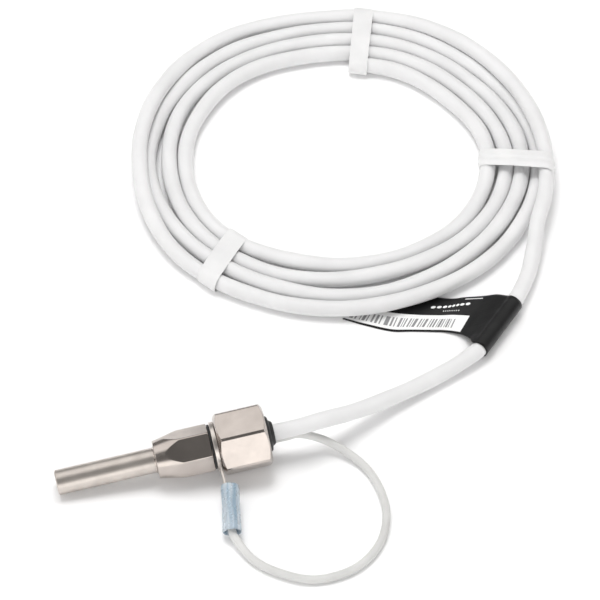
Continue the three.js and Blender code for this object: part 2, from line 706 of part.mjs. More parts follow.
CONDUCTORS.forEach(({ colour, finish }, level) => {
  const height = TAIL_FERRULE_RADIUS + FLOOR_CLEARANCE + level * (2 * TAIL_FERRULE_RADIUS + GAP);
  const ferruleStart = TAIL_START_DEGREES + TAIL_SPAN_DEGREES + GAP_DEGREES;
  addPiece(assembly, `tail_${colour}`,
    cord(tailArc(TAIL_START_DEGREES, TAIL_SPAN_DEGREES, height), TAIL_RADIUS, 8, 6), finish);
  addPiece(assembly, `tail_ferrule_${colour}`,
    cord(tailArc(ferruleStart, FERRULE_SPAN_DEGREES, height), TAIL_FERRULE_RADIUS, 8, 2),
    TINNED_COPPER);
});

export default assembly;
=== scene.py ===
"""Looks of a flame sensor probe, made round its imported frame.

Metres, +Z up. The probe lies on the floor at Z = 0 with its tip towards -X, and its lead is wound
into a tied coil behind it. A station is a distance along the probe's axis from its tip.
"""

import math

import bpy
import numpy as np
from mathutils import Matrix, Vector


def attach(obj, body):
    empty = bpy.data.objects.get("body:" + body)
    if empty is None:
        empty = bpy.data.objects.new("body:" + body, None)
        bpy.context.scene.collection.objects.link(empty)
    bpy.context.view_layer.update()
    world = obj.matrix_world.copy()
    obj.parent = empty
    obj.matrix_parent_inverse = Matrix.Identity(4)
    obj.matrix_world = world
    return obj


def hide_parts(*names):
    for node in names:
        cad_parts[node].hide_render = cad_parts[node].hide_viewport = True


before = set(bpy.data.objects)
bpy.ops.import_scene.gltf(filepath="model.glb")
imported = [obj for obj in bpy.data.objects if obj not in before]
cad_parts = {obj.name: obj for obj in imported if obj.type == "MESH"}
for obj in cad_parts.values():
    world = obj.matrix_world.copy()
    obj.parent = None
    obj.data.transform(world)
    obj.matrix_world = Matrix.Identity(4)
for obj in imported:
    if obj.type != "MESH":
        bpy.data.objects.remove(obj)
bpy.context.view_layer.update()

MM = 0.001
FULL_TURN = 2 * math.pi
UP = Vector((0, 0, 1))

# ------------------------------------------------------------------ sizes, in millimetres
GAP = 0.3
STEM_RADIUS = 4.7625
STEM_BORE = 4.05
STEM_END = 50
STEM_EDGE = 0.4
WINDOW_OPENING = 3.2
WINDOW_SEAT = 1.2

NOSE_STATION = 38.2
NOSE_LENGTH = 12
NOSE_RADIUS = 7.1
NOSE_SLOPE = math.tan(math.radians(11.5))
BODY_REAR = 59.4
BODY_ACROSS = 16
BODY_LAND = 0.12
NECK_END = 71
NECK_BORE = 3.2
THREAD_PITCH = 1.27
THREAD_CORE = 5.5
THREAD_CREST = 6.3

WASHER_FRONT = 59.7
WASHER_REAR = 60.6
WASHER_RADIUS = 8.5
TERMINAL_FRONT = 60.9
TERMINAL_REAR = 61.9
TERMINAL_HOLE = 6.7
TERMINAL_RADIUS = 9.3
TONGUE_HALF_WIDTH = 1.6
TONGUE_HALF_THICKNESS = 0.5
TERMINAL_ANGLE = math.radians(-11)
BARREL_BEND = math.radians(9)
BARREL_STEP = 1.27  # from the tongue's middle towards the cable
BARREL_START = 18.2
BARREL_LENGTH = 6.5
BARREL_RADIUS = 2.1
SLEEVE_START = 17.6
SLEEVE_LENGTH = 19
SLEEVE_RADIUS = 3.62
SLEEVE_WALL = 0.42

NUT_FRONT = 62.2
NUT_REAR = 81.2
NUT_ACROSS = 22.225
NUT_LAND = 0.32
NUT_FACE_RADIUS = 10.3
NUT_THREAD_END = 70.5
NUT_POCKET = 8
NUT_LIP_START = 79.2
NUT_LIP = 7.2

GROMMET_FRONT = 74.5
GROMMET_STEP = 77.7
GROMMET_END = 83.8
GROMMET_FLANGE = 7.7
GROMMET_NOSE = 6.9
GROMMET_END_RADIUS = 4
CABLE_HOLE = 3.3
SLIP_WASHER_FRONT = 78.1
SLIP_WASHER_REAR = 78.9
SLIP_WASHER_HOLE = 7.1

CABLE_RADIUS = 3.2
WIRE_RADIUS = 1.55
WIRE_OFFSET = 5.0
WIRE_ANGLE = math.radians(-97)
LEAD_STEP = 1.6
CORE_TWIST = 52.0  # one turn of the two cores inside the lead

COIL_CENTRE = (95.5, 140)

# The probe lies on the edge of its tip and on the front edge of one of the nut's flats.
NUT_FLAT_START = (NUT_ACROSS / 2 - NUT_FACE_RADIUS) * math.tan(math.pi / 6)
TILT = math.atan((NUT_ACROSS / 2 - STEM_RADIUS) / (NUT_FRONT + NUT_FLAT_START - STEM_EDGE))
TIP_HEIGHT = STEM_RADIUS * math.cos(TILT) - STEM_EDGE * math.sin(TILT)
TIP_X = -0.5 * (
    GROMMET_END * math.cos(TILT) + (GROMMET_END_RADIUS - STEM_RADIUS + STEM_EDGE) * math.sin(TILT)
)

# The probe's own frame: X along its axis from the tip, in metres.
PROBE = Matrix.Translation(Vector((TIP_X, 0, TIP_HEIGHT)) * MM) @ Matrix.Rotation(-TILT, 4, "Y")


def beside_axis(station, offset=0.0, angle=0.0):
    """A point beside the probe's axis, at an angle from -Y towards +Z, in the floor's frame."""
    local = Vector((station, -offset * math.cos(angle), offset * math.sin(angle))) * MM
    return tuple((PROBE @ local) / MM)


TERMINAL_MIDDLE = (TERMINAL_FRONT + TERMINAL_REAR) / 2
TERMINAL_DIRECTION = Vector((0, -math.cos(TERMINAL_ANGLE), math.sin(TERMINAL_ANGLE)))
BARREL_DIRECTION = TERMINAL_DIRECTION * math.cos(BARREL_BEND) + Vector((-math.sin(BARREL_BEND), 0, 0))


def barrel_point(distance):
    """A point on the terminal barrel's axis, in the probe's own frame."""
    start = Vector((TERMINAL_MIDDLE + BARREL_STEP, 0, 0)) + TERMINAL_DIRECTION * BARREL_START
    return start + BARREL_DIRECTION * (distance - BARREL_START)


def barrel_point_on_floor(distance):
    return tuple((PROBE @ (barrel_point(distance) * MM)) / MM)


# ------------------------------------------------------------------ routes of the cords
LEAD_ROUTE = [
    beside_axis(73.6), beside_axis(80), beside_axis(86), beside_axis(91), beside_axis(94),
    (62, 2, 13.4), (73, 6, 9.8), (87, 12, 5.8), (103, 18.4, 3.7), (119, 25, 3.65),
    (128.1, 29.7, 4.35), (131.9, 33.7, 4.35), (141.5, 43.8, 4.35), (149.2, 52.1, 4.35),
    (156.5, 63, 4.2), (161.8, 74.5, 5.4), (166.6, 87, 7.6),
]

WIRE_ROUTE = [
    beside_axis(82.7, WIRE_OFFSET, WIRE_ANGLE), beside_axis(86, WIRE_OFFSET, WIRE_ANGLE),
    beside_axis(89, WIRE_OFFSET, WIRE_ANGLE), beside_axis(92.2, WIRE_OFFSET, WIRE_ANGLE),
    (58.5, -1.2, 7), (66, -5, 3.6), (73, -13, 1.8), (76.7, -24, 1.7), (76.7, -38, 1.7),
    (70.8, -51.2, 1.7), (59.7, -59.8, 1.7), (44, -61.6, 1.7), (31.5, -55.6, 1.8),
    (24.1, -48.6, 1.9), (20.2, -41, 2.8),
    barrel_point_on_floor(SLEEVE_START + SLEEVE_LENGTH),
    barrel_point_on_floor(SLEEVE_START + SLEEVE_LENGTH - 6),
    barrel_point_on_floor(BARREL_START + BARREL_LENGTH + GAP),
]

# The winding, every 30 degrees. The lead comes down from the top of the outermost strand in its
# first turn, each turn after the second lies a pitch further in, and its end is under the back tie.
WINDING_START = -35
WINDING_STEP = 30
FINE_STEP = 5
WINDING_END = 70 + 4 * 360
LOW = 3.25
TURN_PITCH = 6.6
FIRST_TURN = [  # radius and height of the lead's middle
    (88.3, 7.9), (83.3, 9.5), (79.6, 8.7), (80.7, 4.6), (77.3, LOW), (79.0, 4.4),
    (78.4, 8.1), (78.5, 8.0), (80.1, 4.2), (79.4, LOW), (80.0, LOW), (79.8, LOW),
]
SECOND_TURN = [81.9, 82.2, 76.2, 74.1, 70.3, 72.2, 73.6, 74.1, 73.6, 72.4, 73.3, 73.1]
THIRD_TURN_GAP = [0, 0, 0, 0, 0, 0, 0.2, 0.9, 0, 0.7, 2.4, 0.8]
WINDING = FIRST_TURN + [
    (radius - turn * TURN_PITCH - (gap if turn else 0), LOW)
    for turn in range(4) for radius, gap in zip(SECOND_TURN, THIRD_TURN_GAP)
]


# ------------------------------------------------------------------ curves
def dense_curve(points, per=24):
    """A centripetal Catmull-Rom curve through the given points, with as many steps in each span."""
    p = np.array(points, float)
    p = np.vstack([2 * p[0] - p[1], p, 2 * p[-1] - p[-2]])
    dense = []
    for a, b, c, d in zip(p[:-3], p[1:-2], p[2:-1], p[3:]):
        t1 = np.linalg.norm(b - a) ** 0.5
        t2 = t1 + np.linalg.norm(c - b) ** 0.5
        t3 = t2 + np.linalg.norm(d - c) ** 0.5
        t = np.linspace(t1, t2, per, endpoint=False)[:, None]
        a1 = (t1 - t) / t1 * a + t / t1 * b
        a2 = (t2 - t) / (t2 - t1) * b + (t - t1) / (t2 - t1) * c
        a3 = (t3 - t) / (t3 - t2) * c + (t - t2) / (t3 - t2) * d
        b1 = (t2 - t) / t2 * a1 + t / t2 * a2
        b2 = (t3 - t) / (t3 - t1) * a2 + (t - t1) / (t3 - t1) * a3
        dense.append((t2 - t) / (t2 - t1) * b1 + (t - t1) / (t2 - t1) * b2)
    return np.vstack(dense + [p[-2:-1]])


def through(points, step):
    """Evenly spaced points along that curve."""
    dense = dense_curve(points)
    along = np.concatenate([[0], np.cumsum(np.linalg.norm(np.diff(dense, axis=0), axis=1))])
    even = np.linspace(0, along[-1], max(2, round(along[-1] / step) + 1))
    return np.stack([np.interp(even, along, dense[:, k]) for k in range(3)], axis=1)


def winding_profile():
    """Angle, radius and height of the winding at each fine step, kept a strand apart by a few passes."""
    flat = np.array(WINDING, float)
    count = (WINDING_END - WINDING_START) // FINE_STEP + 1
    degrees = WINDING_START + FINE_STEP * np.arange(count)
    place = (degrees - WINDING_START) / WINDING_STEP
    profile = []
    padded = np.vstack([2 * flat[0] - flat[1], flat, flat[-1:], flat[-1:]])
    for at in place:
        i = int(at)
        t = at - i
        a, b, c, d = padded[i:i + 4]
        profile.append(0.5 * (2 * b + (c - a) * t + (2 * a - 5 * b + 4 * c - d) * t * t
                              + (3 * b - a - 3 * c + d) * t ** 3))
    profile = np.array(profile)
    turn = (degrees - degrees[0]) / 360
    loose = np.clip((turn - 0.2) * 5, 0, 1)
    phase = FULL_TURN * turn
    profile[:, 0] += loose * (0.7 * np.sin(3.37 * phase) + 0.4 * np.sin(7.61 * phase + 1))
    profile[:, 1] += loose * 0.9 * np.clip(np.sin(3.43 * phase + 2), 0, 1)
    per_turn = 360 // FINE_STEP
    apart = 2 * CABLE_RADIUS + 0.02
    for _ in range(40):
        for turns in range(1, 5):
            lag = per_turn * turns
            if lag >= count:
                continue
            delta = profile[:-lag] - profile[lag:]
            distance = np.linalg.norm(delta, axis=1)
            push = np.clip(apart - distance, 0, None)[:, None] * delta / distance[:, None] * 0.5
            profile[:-lag] += push
            profile[lag:] -= push
        profile[1:-1] += 0.04 * (profile[:-2] + profile[2:] - 2 * profile[1:-1])
        profile[:, 1] = np.maximum(profile[:, 1], LOW)
    return degrees, profile


def winding_points(degrees, profile):
    angle = np.radians(degrees)
    return np.stack([COIL_CENTRE[0] + profile[:, 0] * np.cos(angle),
                     COIL_CENTRE[1] + profile[:, 0] * np.sin(angle), profile[:, 1]], axis=1)


WINDING_DEGREES, WINDING_PROFILE = winding_profile()


def strands_at(degrees):
    """Radius and height of each strand that passes an angle of the coil, from the outermost."""
    found = []
    for turn in range(5):
        at = (degrees - WINDING_START) % 360 + 360 * turn + WINDING_START
        if at <= WINDING_DEGREES[-1]:
            found.append([np.interp(at, WINDING_DEGREES, WINDING_PROFILE[:, k]) for k in range(2)])
    return np.array(found)


# ------------------------------------------------------------------ mesh building
def smooth_min(a, b, width):
    """The smaller of two values, with the crease between them rounded off."""
    low = np.minimum(a, b)
    return low - width * np.log1p(np.exp(-np.abs(a - b) / width))


def soften(outline, size, steps=3, closed=True):
    """Rounds each corner of an outline of [station, radius] pairs with a short arc."""
    p = np.array(outline, float)
    result = []
    for i, corner in enumerate(p):
        if not closed and i in (0, len(p) - 1):
            result.append(corner)
            continue
        before, after = p[i - 1] - corner, p[(i + 1) % len(p)] - corner
        lb, la = np.linalg.norm(before), np.linalg.norm(after)
        cut = min(size, 0.45 * lb, 0.45 * la)
        start, end = corner + before / lb * cut, corner + after / la * cut
        result.append(start + before / lb * cut * 0.15)
        for k in range(steps + 1):
            t = k / steps
            result.append((1 - t) ** 2 * start + 2 * t * (1 - t) * corner + t * t * end)
        result.append(end + after / la * cut * 0.15)
    return np.array(result)


def object_from(name, points, faces, body, material, place=None):
    """A mesh object of points in millimetres, riding on a body."""
    mesh = bpy.data.meshes.new(name)
    mesh.from_pydata([tuple(p) for p in np.array(points, float) * MM], [], faces)
    mesh.validate()
    mesh.update()
    mesh.polygons.foreach_set("use_smooth", [True] * len(mesh.polygons))
    mesh.materials.append(material)
    obj = bpy.data.objects.new(name, mesh)
    bpy.context.scene.collection.objects.link(obj)
    if place is not None:
        obj.matrix_world = place
    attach(obj, body)
    return obj


def loft(rings, wrap=False):
    """Points and faces of a surface through rings of points, with capped ends.

    wrap joins the last ring to the first instead.
    """
    rings = np.array(rings, float)
    count, sides = rings.shape[:2]
    points = rings.reshape(-1, 3)
    faces = []
    for i in range(count if wrap else count - 1):
        a, b = i * sides, (i + 1) % count * sides
        for j in range(sides):
            k = (j + 1) % sides
            faces.append((a + j, a + k, b + k, b + j))
    if not wrap:
        points = np.vstack([points, rings[0].mean(0), rings[-1].mean(0)])
        first, last = len(points) - 2, len(points) - 1
        end = (count - 1) * sides
        for j in range(sides):
            k = (j + 1) % sides
            faces.append((first, k, j))
            faces.append((last, end + j, end + k))
    return points, faces


def spun(stations, radii, angles):
    """Rings about the probe's axis. Each radius is a number or an array over the angles."""
    rings = []
    for s, r in zip(stations, radii):
        r = np.broadcast_to(r, angles.shape)
        rings.append(np.stack([np.full_like(angles, s), r * np.cos(angles), r * np.sin(angles)], axis=1))
    return rings


def turned_piece(name, outline, body, material, sides=96, edge=0.12):
    """A turned piece with softened edges. Its outline is [station, radius] corners and closes on itself."""
    profile = soften(outline, edge)
    angles = np.linspace(0, FULL_TURN, sides, endpoint=False)
    points, faces = loft(spun(profile[:, 0], profile[:, 1], angles), wrap=True)
    return object_from(name, points, outward(points, faces), body, material, PROBE)


def outward(points, faces):
    """The faces, turned over if they enclose a negative volume."""
    p = np.array(points, float)
    volume = 0.0
    for f in faces:
        for k in range(1, len(f) - 1):
            volume += np.dot(p[f[0]], np.cross(p[f[k]], p[f[k + 1]]))
    return faces if volume > 0 else [tuple(reversed(f)) for f in faces]


def frames_along(points):
    """Two unit normals at each point of a path, carried along it without twist."""
    tangent = np.gradient(points, axis=0)
    tangent /= np.linalg.norm(tangent, axis=1)[:, None]
    first = np.cross(tangent[0], [0, 0, 1.0])
    first /= np.linalg.norm(first)
    normals = [first]
    for t in tangent[1:]:
        n = normals[-1] - np.dot(normals[-1], t) * t
        normals.append(n / np.linalg.norm(n))
    normals = np.array(normals)
    return normals, np.cross(tangent, normals)


def tube(points, radius, sides=24, shape=None):
    """Points and faces of a closed tube with softened ends. shape(i, angles) scales the radius."""
    across, up = frames_along(points)
    tangent = np.cross(across, up)
    angles = np.linspace(0, FULL_TURN, sides, endpoint=False)
    rings = []
    for i, p in enumerate(points):
        r = radius * (shape(i, angles) if shape else np.ones(sides))
        spoke = np.cos(angles)[:, None] * across[i] + np.sin(angles)[:, None] * up[i]
        rings.append(p + r[:, None] * spoke)
    dome = 0.36 * radius
    first, last = points[0], points[-1]
    head = [first + (rings[0] - first) * k - tangent[0] * dome * (1 - k) for k in (0.86, 0.95)]
    tail = [last + (rings[-1] - last) * k + tangent[-1] * dome * (1 - k) for k in (0.95, 0.86)]
    points_out, faces = loft(head + rings + tail)
    return points_out, outward(points_out, faces)


def join_by_boolean(obj, cutter, operation):
    """Applies a union or a difference and removes the second object."""
    step = obj.modifiers.new("join", "BOOLEAN")
    step.operation = operation
    step.solver = "EXACT"
    step.object = cutter
    graph = bpy.context.evaluated_depsgraph_get()
    mesh = bpy.data.meshes.new_from_object(obj.evaluated_get(graph))
    obj.modifiers.clear()
    obj.data = mesh
    bpy.data.objects.remove(cutter)
    return obj


def flat_faces_stay_flat(obj):
    """Large faces keep their own normals beside the small rounded edges."""
    weighted = obj.modifiers.new("weighted", "WEIGHTED_NORMAL")
    weighted.weight = 80
    weighted.keep_sharp = True


# ------------------------------------------------------------------ materials
class Look:
    """A Principled material whose colour, roughness and bump come from noise in the piece's own space."""

    def __init__(self, name, metallic=0.0, specular=0.5):
        self.material = bpy.data.materials.new(name)
        self.material.use_nodes = True
        self.nodes = self.material.node_tree.nodes
        self.links = self.material.node_tree.links
        self.shader = self.nodes["Principled BSDF"]
        self.shader.inputs["Metallic"].default_value = metallic
        self.shader.inputs["Specular IOR Level"].default_value = specular
        self.place = self.nodes.new("ShaderNodeTexCoord").outputs["Object"]

    def noise(self, scale, stretch=(1, 1, 1), detail=4.0, roughness=0.55):
        mapping = self.nodes.new("ShaderNodeMapping")
        mapping.inputs["Scale"].default_value = stretch
        self.links.new(self.place, mapping.inputs["Vector"])
        node = self.nodes.new("ShaderNodeTexNoise")
        node.inputs["Scale"].default_value = scale
        node.inputs["Detail"].default_value = detail
        node.inputs["Roughness"].default_value = roughness
        self.links.new(mapping.outputs["Vector"], node.inputs["Vector"])
        return node.outputs["Fac"]

    def ramp(self, value, stops):
        node = self.nodes.new("ShaderNodeValToRGB")
        ramp = node.color_ramp
        while len(ramp.elements) < len(stops):
            ramp.elements.new(0.5)
        for element, (at, colour) in zip(ramp.elements, stops):
            element.position = at
            element.color = (*colour, 1)
        self.links.new(value, node.inputs["Fac"])
        return node.outputs["Color"]

    def spread(self, value, low, high, start=0.3, end=0.7):
        node = self.nodes.new("ShaderNodeMapRange")
        for key, number in (("From Min", start), ("From Max", end), ("To Min", low), ("To Max", high)):
            node.inputs[key].default_value = number
        self.links.new(value, node.inputs["Value"])
        return node.outputs["Result"]

    def colour(self, value, low, high):
        self.links.new(self.ramp(value, [(0.3, low), (0.7, high)]), self.shader.inputs["Base Color"])
        return self

    def rough(self, value, low, high):
        self.links.new(self.spread(value, low, high), self.shader.inputs["Roughness"])
        return self

    def bump(self, value, height, strength=1.0):
        """Relief of a height in metres, on top of any relief that is there already."""
        node = self.nodes.new("ShaderNodeBump")
        node.inputs["Strength"].default_value = strength
        node.inputs["Distance"].default_value = height
        self.links.new(value, node.inputs["Height"])
        normal = self.shader.inputs["Normal"]
        if normal.is_linked:
            self.links.new(normal.links[0].from_socket, node.inputs["Normal"])
        self.links.new(node.outputs["Normal"], normal)
        return self


def metal(name, low, high, rough, grain=(1, 1, 1), scale=900, relief=0.000004, metallic=1.0):
    """A metal with faint mottling and a fine grain. rough is the range of its roughness."""
    look = Look(name, metallic=metallic)
    look.colour(look.noise(120), low, high)
    look.rough(look.noise(260, detail=6), *rough)
    look.bump(look.noise(scale, grain, detail=2), relief)
    return look.material


def plastic(name, low, high, rough_low, rough_high, relief=0.00001, scale=500, specular=0.5):
    look = Look(name, specular=specular)
    look.colour(look.noise(90), low, high)
    look.rough(look.noise(220), rough_low, rough_high)
    look.bump(look.noise(scale, detail=6), relief)
    return look.material


def jacket_material(name, low=(0.69, 0.69, 0.695), high=(0.75, 0.75, 0.755)):
    """Soft white cable jacket: faint mottling and a fine orange-peel surface."""
    look = Look(name, specular=0.35)
    look.colour(look.noise(60, detail=5), low, high)
    look.rough(look.noise(300), 0.34, 0.46)
    look.bump(look.noise(900, detail=3), 0.00002)
    look.bump(look.noise(140, detail=2), 0.00012, 0.6)
    look.shader.inputs["Subsurface Weight"].default_value = 0.15
    look.shader.inputs["Subsurface Radius"].default_value = (0.0025, 0.0025, 0.0025)
    return look.material


def sleeve_material():
    """Translucent pale blue heat-shrink, streaked lengthwise where it has creased."""
    look = Look("blue_heat_shrink", specular=0.6)
    streaks = look.noise(560, (0.08, 1, 1), detail=2)
    look.colour(streaks, (0.34, 0.47, 0.58), (0.78, 0.84, 0.89))
    look.rough(look.noise(300), 0.2, 0.36)
    look.bump(streaks, 0.0001, 0.6)
    look.shader.inputs["Transmission Weight"].default_value = 0.42
    look.shader.inputs["IOR"].default_value = 1.3
    look.shader.inputs["Coat Weight"].default_value = 0.4
    look.shader.inputs["Coat Roughness"].default_value = 0.15
    return look.material


def glass_material():
    look = Look("window_glass")
    look.colour(look.noise(200), (0.72, 0.82, 0.86), (0.86, 0.93, 0.95))
    look.rough(look.noise(400), 0.02, 0.07)
    look.shader.inputs["Transmission Weight"].default_value = 0.85
    look.shader.inputs["IOR"].default_value = 1.5
    return look.material


def label_material():
    """Black satin film with a soft grey sheen and small handling creases."""
    look = Look("black_film", specular=0.3)
    look.colour(look.noise(70), (0.004, 0.004, 0.0045), (0.01, 0.01, 0.0105))
    look.rough(look.noise(180), 0.3, 0.45)
    look.bump(look.noise(110, (1, 2, 1), detail=3), 0.0004, 0.5)
    return look.material


NICKEL = metal(
    "satin_nickel", (0.5, 0.452, 0.42), (0.58, 0.525, 0.49), (0.15, 0.24),
    grain=(0.3, 1, 1), scale=500, relief=0.0000015,
)
STAINLESS = metal(
    "drawn_stainless", (0.52, 0.475, 0.44), (0.62, 0.57, 0.53), (0.3, 0.38),
    grain=(0.05, 1, 1), scale=700, relief=0.000003, metallic=0.85,
)
TIN = metal("tinned_copper", (0.66, 0.61, 0.57), (0.80, 0.75, 0.71), (0.28, 0.42))
INNER_METAL = metal("inner_metal", (0.5, 0.48, 0.45), (0.7, 0.68, 0.64), (0.3, 0.45))
RUBBER = plastic("black_rubber", (0.008, 0.008, 0.009), (0.02, 0.02, 0.021), 0.4, 0.6, 0.00003)
DARK_PLASTIC = plastic("dark_plastic", (0.015, 0.015, 0.016), (0.03, 0.03, 0.03), 0.45, 0.6)
POTTING = plastic("potting_resin", (0.03, 0.025, 0.02), (0.07, 0.055, 0.045), 0.25, 0.5)
PTFE = plastic("white_ptfe", (0.72, 0.72, 0.70), (0.83, 0.83, 0.81), 0.3, 0.45)
RED = plastic("red_insulation", (0.28, 0.02, 0.015), (0.42, 0.04, 0.03), 0.3, 0.45)
BLACK = plastic("black_insulation", (0.01, 0.01, 0.01), (0.025, 0.025, 0.025), 0.3, 0.45)
JACKET = jacket_material("white_jacket")
WIRE_JACKET = jacket_material("white_wire_jacket", (0.56, 0.56, 0.55), (0.64, 0.64, 0.63))
TIE = plastic("white_tie", (0.69, 0.69, 0.695), (0.76, 0.76, 0.76), 0.5, 0.62, 0.00003, 300, 0.4)
PANEL = plastic("label_white", (0.80, 0.80, 0.80), (0.88, 0.88, 0.88), 0.35, 0.5, 0.00001)
BARS = plastic("label_grey", (0.2, 0.2, 0.205), (0.32, 0.32, 0.325), 0.4, 0.55, 0.00001)
SLEEVE = sleeve_material()
GLASS = glass_material()
LABEL = label_material()


# ------------------------------------------------------------------ lead, coil and bonding wire
def make_lead():
    """The whole lead as one tube: gland, floor, label and then the winding."""
    entry = next(i for i, d in enumerate(WINDING_DEGREES) if d >= WINDING_START + FINE_STEP)
    wound = winding_points(WINDING_DEGREES, WINDING_PROFILE)[entry:]
    path = through(LEAD_ROUTE + [tuple(p) for p in wound], LEAD_STEP)

    def ridged(i, angles):
        phase = FULL_TURN * i * LEAD_STEP / CORE_TWIST
        return 1 + 0.016 * np.cos(2 * (angles - phase)) + 0.008 * np.cos(5 * angles + 1.7 * phase)

    points, faces = tube(path, CABLE_RADIUS * 0.99, 28, ridged)
    lead = object_from("lead", points, faces, "root", JACKET)
    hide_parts("cable_lead", "cable_coil")
    return lead, path


def make_bond_wire():
    path = through(WIRE_ROUTE, 0.9)
    points, faces = tube(path, WIRE_RADIUS, 20)
    wire = object_from("bonding_wire", points, faces, "root", WIRE_JACKET)
    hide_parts("bond_wire")
    return wire, path


lead, lead_path = make_lead()
bond_wire, wire_path = make_bond_wire()


# ------------------------------------------------------------------ camera, floor and light
AIM = Vector((0.06714, 0.07241, 0))
CAMERA_AZIMUTH = math.radians(-12)
CAMERA_ELEVATION = math.radians(50)
CAMERA_DISTANCE = 1.5
LENS = 229.8
SENSOR = 36


def make_camera():
    flat = math.cos(CAMERA_ELEVATION)
    back = Vector((
        math.sin(CAMERA_AZIMUTH) * flat, -math.cos(CAMERA_AZIMUTH) * flat, math.sin(CAMERA_ELEVATION),
    ))
    data = bpy.data.cameras.new("camera")
    data.lens = LENS
    data.sensor_width = SENSOR
    camera = bpy.data.objects.new("camera", data)
    camera.location = AIM + back * CAMERA_DISTANCE
    camera.rotation_euler = back.to_track_quat("Z", "Y").to_euler()
    bpy.context.scene.collection.objects.link(camera)
    bpy.context.scene.camera = camera


def make_floor():
    half = 6.0
    corners = [(-half, -half, 0), (half, -half, 0), (half, half, 0), (-half, half, 0)]
    mesh = bpy.data.meshes.new("floor")
    mesh.from_pydata(corners, [], [(0, 1, 2, 3)])
    look = Look("floor_paper", specular=0.2)
    look.colour(look.noise(3), (0.93, 0.93, 0.935), (0.94, 0.94, 0.945))
    look.rough(look.noise(5), 0.75, 0.85)
    mesh.materials.append(look.material)
    floor = bpy.data.objects.new("floor", mesh)
    bpy.context.scene.collection.objects.link(floor)


# Levels of the studio over the angle from the front horizon, as a share of half a turn.
WORLD_LEVELS = [
    (0.0, 1.0), (0.12, 1.0), (0.2, 0.107), (0.46, 0.09),
    (0.56, 0.7), (0.775, 0.66), (0.845, 0.12), (1.0, 0.15),
]
WORLD_STRENGTH = 1.8


def make_world():
    """Studio light: bright low in front and high behind, dark round the camera and low behind."""
    world = bpy.data.worlds.new("studio")
    bpy.context.scene.world = world
    world.use_nodes = True
    nodes, links = world.node_tree.nodes, world.node_tree.links
    direction = nodes.new("ShaderNodeTexCoord").outputs["Generated"]
    split = nodes.new("ShaderNodeSeparateXYZ")
    links.new(direction, split.inputs["Vector"])
    forward = nodes.new("ShaderNodeMath")
    forward.operation = "MULTIPLY"
    forward.inputs[1].default_value = -1
    links.new(split.outputs["Y"], forward.inputs[0])
    turn = nodes.new("ShaderNodeMath")
    turn.operation = "ARCTAN2"
    links.new(split.outputs["Z"], turn.inputs[0])
    links.new(forward.outputs[0], turn.inputs[1])
    share = nodes.new("ShaderNodeMath")
    share.operation = "DIVIDE"
    share.inputs[1].default_value = math.pi
    links.new(turn.outputs[0], share.inputs[0])
    ramp = nodes.new("ShaderNodeValToRGB")
    while len(ramp.color_ramp.elements) < len(WORLD_LEVELS):
        ramp.color_ramp.elements.new(0.5)
    for element, (at, level) in zip(ramp.color_ramp.elements, WORLD_LEVELS):
        element.position = at
        element.color = (level, level * 0.99, level * 0.975, 1)
    links.new(share.outputs[0], ramp.inputs["Fac"])
    background = nodes["Background"]
    links.new(ramp.outputs["Color"], background.inputs["Color"])
    background.inputs["Strength"].default_value = WORLD_STRENGTH


def make_lamp(name, place, size, power, mirrored=True):
    """A square softbox that faces the middle of the object. Metal can be kept from mirroring it."""
    data = bpy.data.lights.new(name, "AREA")
    data.shape = "SQUARE"
    data.size = size
    data.energy = power
    lamp = bpy.data.objects.new(name, data)
    lamp.visible_glossy = mirrored
    lamp.location = Vector(place)
    lamp.rotation_euler = (Vector(place) - AIM).to_track_quat("Z", "Y").to_euler()
    bpy.context.scene.collection.objects.link(lamp)


make_camera()
make_floor()
make_world()
make_lamp("softbox_top", (0.0, 0.5, 1.6), 0.7, 12, mirrored=False)
make_lamp("softbox_left", (-1.2, -0.1, 1.0), 0.9, 2)
make_lamp("fill_front", (-0.5, -1.7, 1.5), 1.6, 11, mirrored=False)
bpy.context.scene.view_settings.view_transform = "Standard"


# ------------------------------------------------------------------ probe
def hex_radius(angles, across, first_corner, land):
    """Radius of a hexagonal bar's surface, whose corners are turned down by a small land."""
    inside = (angles - first_corner) % (math.pi / 3) - math.pi / 6
    flat = across / 2 / np.cos(inside)
    return smooth_min(flat, across / 2 / math.cos(math.pi / 6) - land, 0.05)


def make_stem():
    outline = [
        (0, WINDOW_OPENING), (0, STEM_RADIUS - STEM_EDGE), (STEM_EDGE, STEM_RADIUS),
        (STEM_END, STEM_RADIUS), (STEM_END, STEM_BORE),
        (WINDOW_SEAT, STEM_BORE), (WINDOW_SEAT, WINDOW_OPENING),
    ]
    stem = turned_piece("stem", outline, "root", STAINLESS, sides=128, edge=0.12)
    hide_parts("stem_tube")
    fillet = turned_piece("braze_fillet", [
        (NOSE_STATION - 0.75, STEM_RADIUS + 0.02), (NOSE_STATION - 0.3, STEM_RADIUS + 0.14),
        (NOSE_STATION - 0.06, STEM_RADIUS + 0.6), (NOSE_STATION - 0.02, STEM_RADIUS + 0.6),
        (NOSE_STATION - 0.02, STEM_RADIUS + 0.02),
    ], "root", NICKEL, sides=96, edge=0.06)


def ridge(stations, angles, core, crest, extra):
    """Radius of a right-hand thread's surface at stations and angles."""
    turn = THREAD_PITCH * angles / FULL_TURN
    offset = (stations - BODY_REAR - turn + THREAD_PITCH / 2) % THREAD_PITCH - THREAD_PITCH / 2
    slope = 0.45
    half_at_core = 0.44 + extra
    height = np.clip((half_at_core - np.abs(offset)) / slope, 0, crest - core)
    return core + height


